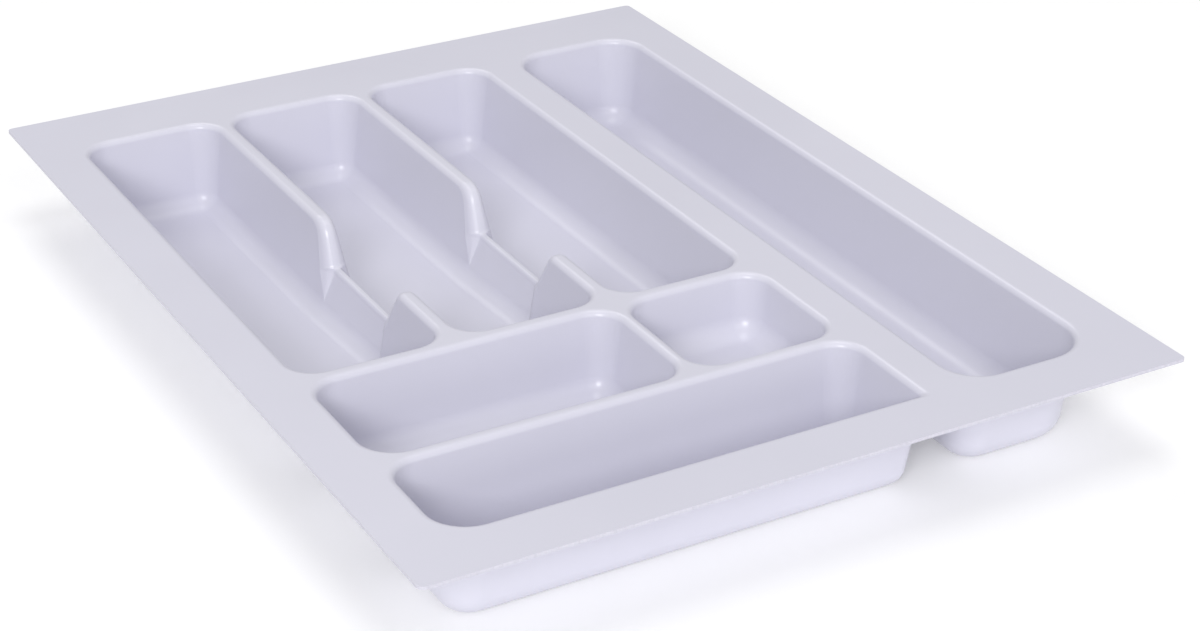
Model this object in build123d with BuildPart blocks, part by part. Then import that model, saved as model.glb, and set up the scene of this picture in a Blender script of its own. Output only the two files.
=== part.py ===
"""Cutlery tray for a kitchen drawer: one plastic sheet drawn down into seven open compartments.

Millimetres. X runs along the front edge, Y from the front to the back, Z up. The origin is below
the middle of the tray, on the plane that the deepest compartments stand on.
"""
from build123d import *
import os
from math import cos, radians, tan

os.makedirs("parts", exist_ok=True)

# The sheet
tray_width = 372.0
tray_length = 490.0
sheet = 1.5
outline_radius = 2.5

# Flat border between the trimmed edge and the compartments
side_border = 26.0
front_border = 30.0
back_border = 41.0

# Ribs left between the compartments, measured across their tops
thin_rib = 8.0  # between the long compartments, and in front of them
row_rib = 7.0  # between the front row and the middle row
cross_rib = 6.0  # between the two compartments of the middle row
wide_rib = 22.0  # beside the full-length compartment

# Mouths of the compartments
long_width = 71.0
front_row_length = 58.0
middle_row_length = 70.0
small_width = 72.0

# Depths below the rim
full_depth = 47.0
long_depth = 45.0
middle_depth = 40.0
small_depth = 30.0

# The shape that the compartments share
draft = 6.5  # degrees that the walls lean outwards
corner_radius = 17.0  # upright corners, at the mouth
floor_radius = 11.0  # between wall and floor
lip_radius = 2.0  # between wall and rim, on the sheet's upper face
under_lip_radius = 0.3  # the same edge on its lower face

# Finger notches in the two ribs between the long compartments
notch_depth = 22.0
notch_front = -7.3  # where the low ridge meets the front ramp
notch_back = 55.0  # where the low ridge meets the back slope
ramp_run = 13.2
slope_run = 8.9
slope_top_radius = 12.0
slope_foot_radius = 3.0
ridge_width = 5.0

# Places that follow from the sizes above
rim_height = full_depth + sheet
left = side_border - tray_width / 2
right = -left
front = front_border - tray_length / 2
back = tray_length / 2 - back_border
block_right = right - long_width - wide_rib
front_row_back = front + front_row_length
middle_front = front_row_back + row_rib
middle_back = middle_front + middle_row_length
long_front = middle_back + thin_rib
first_rib = left + long_width
second_rib = first_rib + thin_rib + long_width
small_left = block_right - small_width
lean = tan(radians(draft))

# Each compartment: left, right, front and back of its mouth, its depth, and its rounded corners
compartments = [
    (left, first_rib, long_front, back, long_depth, 4),
    (first_rib + thin_rib, second_rib, long_front, back, long_depth, 4),
    (second_rib + thin_rib, block_right, long_front, back, long_depth, 4),
    (block_right + wide_rib, right, front, back, full_depth, 4),
    (left, small_left - cross_rib, middle_front, middle_back, middle_depth, 4),
    (small_left, block_right, middle_front, middle_back, small_depth, 4),
    (left, block_right, front, front_row_back, full_depth, 3),
]


def compartment_space(x_left, x_right, y_front, y_back, depth, rounded_corners, skin):
    """The space inside one compartment, with its walls and floor moved outwards by the skin.

    Where only three corners are rounded, the front right one stays square.
    """
    grow = skin / cos(radians(draft))
    with BuildPart() as space:
        with BuildSketch(Plane.XY.offset(rim_height)) as mouth:
            with Locations(((x_left + x_right) / 2, (y_front + y_back) / 2)):
                Rectangle(x_right - x_left + 2 * grow, y_back - y_front + 2 * grow)
            corners = mouth.vertices().sort_by(lambda vertex: vertex.X - vertex.Y)
            fillet(corners[:rounded_corners], corner_radius + grow)
        extrude(amount=-(depth + skin), taper=draft)
        fillet(space.faces().sort_by(Axis.Z)[0].edges(), floor_radius + skin)
    return space.part


def notch_space(rib_left, skin):
    """The gap over the low part of a rib: a front ramp, a level ridge and a rounded back slope."""
    ridge = rim_height - notch_depth
    above_rim = rim_height + notch_depth
    with BuildPart() as space:
        with BuildSketch(Plane.YZ.offset(rib_left - floor_radius)):
            with BuildLine():
                slope = FilletPolyline(
                    (notch_front, ridge),
                    (notch_back, ridge),
                    (notch_back + slope_run, rim_height),
                    (notch_back + slope_run + slope_top_radius, rim_height),
                    radius=(slope_foot_radius, slope_top_radius),
                )
                Polyline(
                    slope @ 1,
                    (slope @ 1) + (0, notch_depth),
                    (notch_front - ramp_run, above_rim),
                    (notch_front - ramp_run, rim_height),
                    slope @ 0,
                )
            make_face()
            if skin:
                offset(amount=skin, kind=Kind.INTERSECTION)
        extrude(amount=thin_rib + 2 * floor_radius)
    return space.part


def ridge_side_space(wall, side, skin):
    """A strip beside the low ridge, which keeps the ridge thin.

    side is 1 where the compartment lies left of the rib, and -1 where it lies right of it.
    """
    wall = wall + side * (thin_rib - ridge_width) / 2
    floor = rim_height - long_depth
    inside = wall - side * 2 * corner_radius
    with BuildPart() as space:
        with BuildSketch(Plane.XZ.offset(skin - notch_front)):
            with BuildLine():
                wall_line = FilletPolyline(
                    (wall + side * notch_depth * lean, rim_height),
                    (wall - side * (long_depth - notch_depth) * lean, floor),
                    (inside, floor),
                    radius=floor_radius,
                )
                Polyline(wall_line @ 1, (inside, rim_height), wall_line @ 0)
            make_face()
            if skin:
                offset(amount=skin, kind=Kind.INTERSECTION)
        extrude(amount=notch_front - notch_back - 2 * skin)
    return space.part


def runs_along_rib(edge):
    """True for the edges down a notched rib's ramp, along its ridge and up its back slope."""
    reach = floor_radius / 2
    by_rib = any(
        rib_left - reach < edge.center().X < rib_left + thin_rib + reach
        for rib_left in (first_rib, second_rib)
    )
    return by_rib and edge.center().Y > long_front and edge.bounding_box().size.Y > sheet / 4


def solid_below(skin, edge_radius):
    """All the room below one face of the sheet: skin is 0 for its upper face, sheet for its lower."""
    face_height = rim_height - skin
    spaces = [compartment_space(*compartment, skin) for compartment in compartments]
    for rib_left in (first_rib, second_rib):
        spaces.append(notch_space(rib_left, skin))
        spaces.append(ridge_side_space(rib_left, 1, skin))
        spaces.append(ridge_side_space(rib_left + thin_rib, -1, skin))
    beyond = 10 * skin  # keeps the outer sides of the two solids apart
    with BuildPart() as solid:
        with BuildSketch(Plane.XY.offset(face_height)):
            Rectangle(tray_width + beyond, tray_length + beyond)
        extrude(amount=-(rim_height + full_depth + beyond))
        add(spaces, mode=Mode.SUBTRACT)
        at_rim = solid.edges().filter_by_position(Axis.Z, face_height - 0.01, face_height + 0.01)
        mouths = at_rim.filter_by(lambda edge: abs(edge.center().X) < right + side_border / 2)
        mouths = mouths.filter_by(lambda edge: abs(edge.center().Y) < tray_length / 2 - front_border / 2)
        below_rim = solid.edges().filter_by_position(
            Axis.Z, face_height - notch_depth - 0.01, face_height - 0.01, (True, False)
        )
        fillet(mouths + below_rim.filter_by(runs_along_rib), edge_radius)
    return solid.part


upper_solid = solid_below(0, lip_radius)
lower_solid = solid_below(sheet, under_lip_radius)

with BuildPart() as cutlery_tray:
    add(upper_solid)
    add(lower_solid, mode=Mode.SUBTRACT)
    outline = cutlery_tray.edges().filter_by(Axis.Z)
    outline = outline.filter_by(lambda edge: abs(edge.center().X) > tray_width / 2 - sheet)
    fillet(outline, outline_radius)

cutlery_tray.part.label = "cutlery_tray"
export_step(cutlery_tray.part, "parts/cutlery_tray.step")
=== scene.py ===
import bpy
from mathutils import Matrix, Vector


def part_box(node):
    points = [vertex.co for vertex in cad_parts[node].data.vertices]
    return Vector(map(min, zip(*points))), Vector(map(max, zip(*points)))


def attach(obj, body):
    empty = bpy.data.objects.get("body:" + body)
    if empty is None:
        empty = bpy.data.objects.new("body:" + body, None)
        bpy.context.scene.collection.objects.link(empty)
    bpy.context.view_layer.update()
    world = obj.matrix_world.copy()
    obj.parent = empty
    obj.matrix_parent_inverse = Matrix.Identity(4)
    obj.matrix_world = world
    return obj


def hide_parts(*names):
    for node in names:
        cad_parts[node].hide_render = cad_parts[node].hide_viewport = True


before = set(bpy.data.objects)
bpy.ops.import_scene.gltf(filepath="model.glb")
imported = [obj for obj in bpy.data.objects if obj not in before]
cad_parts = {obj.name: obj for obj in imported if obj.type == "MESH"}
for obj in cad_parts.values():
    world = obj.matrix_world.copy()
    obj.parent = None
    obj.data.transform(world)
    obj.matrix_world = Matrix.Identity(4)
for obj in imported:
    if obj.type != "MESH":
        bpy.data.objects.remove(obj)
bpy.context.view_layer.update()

from math import copysign, cos, radians, sin, sqrt, tan

import bmesh
import bpy
from mathutils import Quaternion, Vector

low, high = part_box("cutlery_tray")

# The moulded tray: one sheet of gloss polystyrene, heated, drawn down over a mould by vacuum and cut
# square round its border. Its upper face is shaped here, and the sheet's thickness is added below it.
# Drafted walls, a rolled lip round every mouth and a wide curve round every floor come from the mould.
sheet = 0.0015
side_border = 0.026
front_border = 0.030
back_border = 0.041
thin_rib = 0.008
row_rib = 0.007
cross_rib = 0.006
wide_rib = 0.022
long_width = 0.071
front_row_length = 0.058
middle_row_length = 0.070
small_width = 0.072
full_depth = 0.047
long_depth = 0.045
middle_depth = 0.040
small_depth = 0.030
draft = radians(6.5)
lean = tan(draft)

left = low.x + side_border
right = high.x - side_border
front = low.y + front_border
back = high.y - back_border
block_right = right - long_width - wide_rib
front_row_back = front + front_row_length
middle_front = front_row_back + row_rib
middle_back = middle_front + middle_row_length
long_front = middle_back + thin_rib
first_rib = left + long_width
second_rib = first_rib + thin_rib + long_width
small_left = block_right - small_width

collar = 0.0029  # the strip of flat top that is made with each mouth
lip_width = 0.0027
lip_segments = 6
floor_width = 0.0098
floor_segments = 10
corner_segments = 12
corner_spare = 0.0003  # left of the tightest upright corner where it meets the floor's curve
outline_radii = (0.004, 0.0025, 0.0025, 0.0025)
outline_segments = 5
hair = 1e-5  # points this near to a line lie on it

# The radii of a mouth's upright corners: front left, front right, back right, back left. Zero is a
# corner that is sharp until the end.
long_radii = (0.014, 0.014, 0.014, 0.014)
full_radii = (0.018, 0.023, 0.018, 0.018)
middle_radii = (0.017, 0.014, 0.014, 0.014)
small_radii = (0.014, 0.014, 0.014, 0.014)
front_radii = (0.018, 0, 0.014, 0.014)

# Left, right, front and back of each mouth, its depth and its corners
compartments = [
    (left, first_rib, long_front, back, long_depth, long_radii),
    (first_rib + thin_rib, second_rib, long_front, back, long_depth, long_radii),
    (second_rib + thin_rib, block_right, long_front, back, long_depth, long_radii),
    (block_right + wide_rib, right, front, back, full_depth, full_radii),
    (left, small_left - cross_rib, middle_front, middle_back, middle_depth, middle_radii),
    (small_left, block_right, middle_front, middle_back, small_depth, small_radii),
    (left, block_right, front, front_row_back, full_depth, front_radii),
]

tray_shape = bmesh.new()


def rounded_face(x_left, x_right, y_front, y_back, radii, segments):
    """Adds a level face at the rim, with rounded corners where a radius is given."""
    made = bmesh.ops.create_grid(tray_shape, x_segments=1, y_segments=1, size=0.5)
    corners = made["verts"]
    bmesh.ops.scale(tray_shape, verts=corners, vec=(x_right - x_left, y_back - y_front, 1))
    middle = ((x_left + x_right) / 2, (y_front + y_back) / 2, high.z)
    bmesh.ops.translate(tray_shape, verts=corners, vec=middle)
    face = corners[0].link_faces[0]
    places = [(x_left, y_front), (x_right, y_front), (x_right, y_back), (x_left, y_back)]
    for place, radius in zip(places, radii):
        if radius:
            corner = min(face.verts, key=lambda vertex: (vertex.co.xy - Vector(place)).length)
            made = bmesh.ops.bevel(
                tray_shape, geom=[corner], offset=radius, offset_type="OFFSET", segments=segments,
                profile=0.5, affect="VERTICES", material=-1, clamp_overlap=False,
            )
            face = made["verts"][0].link_faces[0]
    return face


for x_left, x_right, y_front, y_back, depth, radii in compartments:
    outer_radii = [radius + collar if radius else 0 for radius in radii]
    floor_face = rounded_face(
        x_left - collar, x_right + collar, y_front - collar, y_back + collar, outer_radii, corner_segments
    )
    bmesh.ops.inset_region(
        tray_shape, faces=[floor_face], thickness=collar, depth=0, use_boundary=True, use_even_offset=True
    )
    mouth_edges = list(floor_face.edges)
    bmesh.ops.inset_region(
        tray_shape, faces=[floor_face], thickness=depth * lean, depth=-depth, use_boundary=True,
        use_even_offset=True,
    )
    tightest = min(radius for radius in radii if radius) - depth * lean
    floor_offset = min(floor_width, tightest - corner_spare)
    bends = (
        (list(floor_face.edges), floor_offset, floor_segments),
        (mouth_edges, lip_width, lip_segments),
    )
    for edges, offset, segments in bends:
        bmesh.ops.bevel(
            tray_shape, geom=edges, offset=offset, offset_type="OFFSET", segments=segments,
            profile=0.5, affect="EDGES", material=-1, clamp_overlap=False, loop_slide=True,
        )

# The wide front compartment's front right corner is almost square, with a small radius from its lip
# down to its floor. The edges of that corner all lie on one line in plan, at 45 degrees.
tight_radius = 0.0028
tight_segments = 4
corner_reach = 0.030
square_corner = Vector((block_right, front))


def on_square_corner(corner):
    """True for the points that lie on the line in from the square corner."""
    inwards = corner.co.xy - square_corner
    return abs(inwards.x + inwards.y) < hair and abs(inwards.y) < corner_reach


corner_edges = [
    edge for edge in tray_shape.edges
    if all(on_square_corner(corner) for corner in edge.verts)
    and abs(edge.verts[0].co.z - edge.verts[1].co.z) > hair
]
bmesh.ops.bevel(
    tray_shape, geom=corner_edges, offset=tight_radius, offset_type="OFFSET", segments=tight_segments,
    profile=0.5, affect="EDGES", material=-1, clamp_overlap=True, loop_slide=True,
)

# The flat top between the mouths and the trimmed outline
outline = rounded_face(low.x, high.x, low.y, high.y, outline_radii, outline_segments)
bmesh.ops.delete(tray_shape, geom=[outline], context="FACES_ONLY")
open_edges = [edge for edge in tray_shape.edges if len(edge.link_faces) < 2]
bmesh.ops.triangle_fill(
    tray_shape, use_beauty=True, use_dissolve=False, edges=open_edges, normal=(0, 0, 1)
)
merge_distance = 2e-6
bmesh.ops.remove_doubles(tray_shape, verts=tray_shape.verts, dist=merge_distance)
bmesh.ops.dissolve_degenerate(tray_shape, edges=tray_shape.edges, dist=merge_distance)
bmesh.ops.recalc_face_normals(tray_shape, faces=tray_shape.faces)
# The upper face has to look up
if sum(face.normal.z * face.calc_area() for face in tray_shape.faces) < 0:
    bmesh.ops.reverse_faces(tray_shape, faces=tray_shape.faces)

# Finger notches in the two ribs between the long compartments: the rib drops to a low thin ridge. A
# ramp leads down to it from the front, and the rib behind it ends in a steep rounded nose.
notch_depth = 0.022
ramp_top = -0.0205
ramp_foot = -0.0073
nose_foot = 0.055
nose_slope = radians(68)
nose_top = nose_foot + notch_depth / tan(nose_slope)
level_before = 0.010  # of level rib top before the ramp
level_behind = 0.020  # and behind the nose
bend_points = 6

ridge_width = 0.0042
turn_length = 0.0004  # the low ridge widens to the full rib within this length
turn_steps = 4
turn_reach = 0.003  # how far the rounding of the ramp's and the nose's ends runs along the ridge
ramp_rounding = 0.6  # of a half circle in plan, while the nose is a full one
hollow = 0.0035  # how far the walls beside the ridge draw in at their foot
foot_drop = 0.035  # below the rim, where the walls run into the floor's curve
foot_lean = 0.003  # the foot of the ramp's round end is set back this much less than a full rounding

lip_drop = 0.006  # points less than this below the rim are the top of a rib
wall_foot = 0.030  # points more than this below the rim are the foot of a wall
reach = 0.022  # how far each side of a rib the sheet is cut into strips
front_margin = 0.010  # and how far in front of the long compartments
cut_snap = 1e-6  # points this near to a strip's border lie on it

# Each corner of the notch's side view: its place along the rib, its drop, and how far its curve reaches
notch_corners = [
    (ramp_top, 0, 0.0035),
    (ramp_foot, notch_depth, 0.0050),
    (nose_foot, notch_depth, 0.0020),
    (nose_top, 0, 0.0085),
]
ends = [(ramp_top - level_before, 0, 0)] + notch_corners + [(nose_top + level_behind, 0, 0)]
profile = []
for before, corner, after in zip(ends, notch_corners, ends[2:]):
    bend = Vector(corner[:2])
    start = bend + (Vector(before[:2]) - bend).normalized() * corner[2]
    stop = bend + (Vector(after[:2]) - bend).normalized() * corner[2]
    for step in range(bend_points + 1):
        part = step / bend_points
        profile.append(start * (1 - part) ** 2 + bend * 2 * part * (1 - part) + stop * part**2)


def notch_drop(y):
    """How far the top of a notched rib lies below the rim."""
    for before, after in zip(profile, profile[1:]):
        if before.x <= y <= after.x:
            return before.y + (after.y - before.y) * (y - before.x) / (after.x - before.x)
    return 0


def notch_narrowing(y):
    """How much of its full narrowing the low ridge has, from 0 to 1."""
    part = min((y - ramp_foot) / turn_length, (nose_foot - y) / turn_length)
    return min(max(part, 0), 1)


def round_end(half, share):
    """How far the round end of a rib is set back at a share of its half width."""
    return half * (1 - sqrt(1 - share**2))


def shape_rib_top(corner, rib):
    """Lowers a point of the rib's top into the notch, and gives how far it is set back along the rib."""
    across = corner.co.x - rib
    narrowing = notch_narrowing(corner.co.y)
    drop = notch_drop(corner.co.y)
    half = thin_rib / 2 + drop * lean
    width = (1 - narrowing) * half + narrowing * ridge_width / 2
    share = min(abs(across) / (thin_rib / 2), 1) * width / half
    corner.co.x = rib + across * width / (thin_rib / 2)
    corner.co.z -= drop
    return round_end(half, share)


def shape_wall_foot(corner, rib):
    """Draws a point at the foot of the rib's wall in under the ridge, and gives how far it is set back."""
    narrowing = notch_narrowing(corner.co.y)
    half = thin_rib / 2 + foot_drop * lean
    taper = min(max((nose_foot - corner.co.y) / (nose_foot - ramp_foot), 0), 1)
    share = 1 - hollow * narrowing / half
    corner.co.x -= copysign(hollow * narrowing * taper, corner.co.x - rib)
    return round_end(half, share) - foot_lean if corner.co.y < (ramp_foot + nose_foot) / 2 else 0


stations = [point.x for point in profile]
for step in range(turn_steps + 1):
    turned = turn_length * step / turn_steps
    stations += [ramp_foot + turned, nose_foot - turned]

for rib in (first_rib + thin_rib / 2, second_rib + thin_rib / 2):
    for station in sorted(stations):
        middles = [(face, face.calc_center_median()) for face in tray_shape.faces]
        faces = [
            face for face, middle in middles
            if abs(middle.x - rib) < reach and middle.y > long_front - front_margin
        ]
        edges = list(dict.fromkeys(edge for face in faces for edge in face.edges))
        corners = list(dict.fromkeys(corner for face in faces for corner in face.verts))
        bmesh.ops.bisect_plane(
            tray_shape, geom=faces + edges + corners, plane_co=(0, station, 0), plane_no=(0, 1, 0),
            dist=cut_snap,
        )
    for corner in tray_shape.verts:
        across = abs(corner.co.x - rib)
        y = corner.co.y
        if across > reach or not profile[0].x - cut_snap < y < profile[-1].x + cut_snap:
            continue
        if corner.co.z > high.z - lip_drop and across < thin_rib:
            set_back = shape_rib_top(corner, rib)
        elif corner.co.z < high.z - wall_foot:
            set_back = shape_wall_foot(corner, rib)
        else:
            continue
        if y > nose_foot - turn_reach:
            corner.co.y += set_back
        elif y < ramp_foot + turn_reach:
            corner.co.y -= set_back * ramp_rounding

# The sheet's lower face follows the upper one at its thickness, and the cut edge joins the two. The
# knife leaves both borders of the cut edge sharp.
tray_shape.normal_update()
cut_line = [edge for edge in tray_shape.edges if edge.is_boundary]
for edge in cut_line:
    edge.smooth = False
upper = list(tray_shape.verts)
made = bmesh.ops.duplicate(tray_shape, geom=upper + list(tray_shape.edges) + list(tray_shape.faces))
under = made["vert_map"]
for corner in upper:
    under[corner].co = corner.co - corner.normal * sheet
lower_faces = [item for item in made["geom"] if isinstance(item, bmesh.types.BMFace)]
bmesh.ops.reverse_faces(tray_shape, faces=lower_faces)
for edge in cut_line:
    start, stop = edge.verts
    if edge.link_loops[0].vert == start:
        start, stop = stop, start
    cut = tray_shape.faces.new((start, stop, under[stop], under[start]))
    cut.material_index = 1

tray_mesh = bpy.data.meshes.new("moulded_tray")
tray_shape.to_mesh(tray_mesh)
tray_shape.free()
for polygon in tray_mesh.polygons:
    polygon.use_smooth = True
tray = bpy.data.objects.new("moulded_tray", tray_mesh)
bpy.context.scene.collection.objects.link(tray)
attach(tray, "root")
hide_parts("cutlery_tray")
shading = tray.modifiers.new("shading", "WEIGHTED_NORMAL")
shading.weight = 50
shading.keep_sharp = True

# Pale lavender gloss plastic: faintly cloudy colour, a skin like fine orange peel over long shallow
# waves left by the cooling sheet, and patches where the mould's own surface printed through duller.
plastic_bend = 1.55  # the index of refraction of polystyrene
dark_cloud = (0.652, 0.646, 0.738, 1)
pale_cloud = (0.674, 0.668, 0.760, 1)


def noise_pattern(material, place, scale, detail):
    """Adds a noise pattern in the given coordinates, and gives its value."""
    pattern = material.node_tree.nodes.new("ShaderNodeTexNoise")
    pattern.inputs["Scale"].default_value = scale
    pattern.inputs["Detail"].default_value = detail
    material.node_tree.links.new(place, pattern.inputs["Vector"])
    return pattern.outputs["Fac"]


def two_tints(material, pattern, dark_at, dark, pale_at, pale):
    """Colours the material from a dark tint to a pale one as the pattern rises."""
    tints = material.node_tree.nodes.new("ShaderNodeValToRGB")
    tints.color_ramp.elements[0].position = dark_at
    tints.color_ramp.elements[0].color = dark
    tints.color_ramp.elements[1].position = pale_at
    tints.color_ramp.elements[1].color = pale
    shader = material.node_tree.nodes["Principled BSDF"]
    material.node_tree.links.new(pattern, tints.inputs["Fac"])
    material.node_tree.links.new(tints.outputs["Color"], shader.inputs["Base Color"])


def uneven_gloss(material, pattern, glossy_at, glossy, dull_at, dull):
    """Makes the material duller as the pattern rises."""
    gloss = material.node_tree.nodes.new("ShaderNodeMapRange")
    gloss.inputs["From Min"].default_value = glossy_at
    gloss.inputs["From Max"].default_value = dull_at
    gloss.inputs["To Min"].default_value = glossy
    gloss.inputs["To Max"].default_value = dull
    shader = material.node_tree.nodes["Principled BSDF"]
    material.node_tree.links.new(pattern, gloss.inputs["Value"])
    material.node_tree.links.new(gloss.outputs["Result"], shader.inputs["Roughness"])


def relief(material, pattern, strength, distance):
    """Adds a bump that follows the pattern, and gives the node."""
    bump = material.node_tree.nodes.new("ShaderNodeBump")
    bump.inputs["Strength"].default_value = strength
    bump.inputs["Distance"].default_value = distance
    material.node_tree.links.new(pattern, bump.inputs["Height"])
    return bump


plastic = bpy.data.materials.new("gloss_polystyrene")
plastic.use_nodes = True
shader = plastic.node_tree.nodes["Principled BSDF"]
shader.inputs["IOR"].default_value = plastic_bend
on_tray = plastic.node_tree.nodes.new("ShaderNodeTexCoord").outputs["Object"]
clouds = noise_pattern(plastic, on_tray, 9, 3)
dull_patches = noise_pattern(plastic, on_tray, 22, 5)
waves = noise_pattern(plastic, on_tray, 18, 0)
peel = noise_pattern(plastic, on_tray, 300, 2)
two_tints(plastic, clouds, 0.3, dark_cloud, 0.7, pale_cloud)
uneven_gloss(plastic, dull_patches, 0.3, 0.285, 0.7, 0.35)
wave_relief = relief(plastic, waves, 0.35, 0.0005)
peel_relief = relief(plastic, peel, 0.12, 0.00005)
plastic.node_tree.links.new(wave_relief.outputs["Normal"], peel_relief.inputs["Normal"])
plastic.node_tree.links.new(peel_relief.outputs["Normal"], shader.inputs["Normal"])
tray_mesh.materials.append(plastic)

# The trimmed edge: the same plastic where the knife cut through it, greyer and dull, with fine
# upright drag lines.
dark_drag = (0.54, 0.53, 0.61, 1)
pale_drag = (0.63, 0.62, 0.70, 1)
drag_stretch = (1, 1, 0.08)

cut_edge = bpy.data.materials.new("cut_edge")
cut_edge.use_nodes = True
shader = cut_edge.node_tree.nodes["Principled BSDF"]
shader.inputs["IOR"].default_value = plastic_bend
on_tray = cut_edge.node_tree.nodes.new("ShaderNodeTexCoord").outputs["Object"]
stretch = cut_edge.node_tree.nodes.new("ShaderNodeMapping")
stretch.inputs["Scale"].default_value = drag_stretch
cut_edge.node_tree.links.new(on_tray, stretch.inputs["Vector"])
drag_lines = noise_pattern(cut_edge, stretch.outputs["Vector"], 900, 3)
two_tints(cut_edge, drag_lines, 0.25, dark_drag, 0.75, pale_drag)
uneven_gloss(cut_edge, drag_lines, 0, 0.42, 1, 0.62)
drag_relief = relief(cut_edge, drag_lines, 0.5, 0.00006)
cut_edge.node_tree.links.new(drag_relief.outputs["Normal"], shader.inputs["Normal"])
tray_mesh.materials.append(cut_edge)

# The floor that the tray stands on: plain pale paper, just below the tray's lowest face.
floor_half = 6
floor_gap = 0.0002

floor_mesh = bpy.data.meshes.new("floor")
floor_shape = bmesh.new()
bmesh.ops.create_grid(floor_shape, x_segments=1, y_segments=1, size=floor_half)
bmesh.ops.translate(floor_shape, verts=floor_shape.verts, vec=(0, 0, low.z - floor_gap))
floor_shape.to_mesh(floor_mesh)
floor_shape.free()
floor = bpy.data.objects.new("floor", floor_mesh)
bpy.context.scene.collection.objects.link(floor)
paper = bpy.data.materials.new("pale_floor")
paper.use_nodes = True
paper_shader = paper.node_tree.nodes["Principled BSDF"]
paper_shader.inputs["Base Color"].default_value = (0.9, 0.9, 0.9, 1)
paper_shader.inputs["Roughness"].default_value = 0.9
paper_shader.inputs["Emission Color"].default_value = (1, 1, 1, 1)
paper_shader.inputs["Emission Strength"].default_value = 0.14
floor_mesh.materials.append(paper)

# The studio: a pale room and soft lamps round the tray, all turned towards its middle.
world = bpy.data.worlds.new("studio")
world.use_nodes = True
world.node_tree.nodes["Background"].inputs["Color"].default_value = (1, 1, 1, 1)
world.node_tree.nodes["Background"].inputs["Strength"].default_value = 0.50
bpy.context.scene.world = world
# Each lamp: its name, its place, its width and height, and its power
lamps = [
    ("low_front_softbox", (0, -5.0, 0.9), (3.5, 1.4), 26),
    ("front_softbox", (0, -4.0, 3.0), (2.5, 2.0), 20),
    ("top_softbox", (0, 0, 4.5), (2.0, 2.0), 36),
    ("front_left_softbox", (-3.0, -3.6, 2.6), (1.6, 1.6), 122),
    ("back_softbox", (0.4, 3.6, 4.2), (2.0, 2.0), 34),
]
for name, place, size, power in lamps:
    lamp_data = bpy.data.lights.new(name, "AREA")
    lamp_data.shape = "RECTANGLE"
    lamp_data.size, lamp_data.size_y = size
    lamp_data.energy = power
    lamp = bpy.data.objects.new(name, lamp_data)
    lamp.location = place
    lamp.rotation_euler = (-Vector(place)).to_track_quat("-Z", "Y").to_euler()
    bpy.context.scene.collection.objects.link(lamp)

# The camera: above the tray's front left, looking down its length.
turn = radians(29.465)
tilt = radians(27.709)
roll = radians(0.207)
camera_height = 0.54617  # above the rim

camera_data = bpy.data.cameras.new("camera")
camera_data.sensor_width = 36.0
camera_data.lens = 78.31
camera = bpy.data.objects.new("camera", camera_data)
bpy.context.scene.collection.objects.link(camera)
forward = Vector((sin(turn) * cos(tilt), cos(turn) * cos(tilt), -sin(tilt)))
facing = forward.to_track_quat("-Z", "Y") @ Quaternion((0, 0, 1), roll)
camera.rotation_euler = facing.to_euler()
camera.location = Vector((-0.53015, -0.99109, high.z + camera_height))
bpy.context.scene.camera = camera
bpy.context.scene.view_settings.view_transform = "Standard"
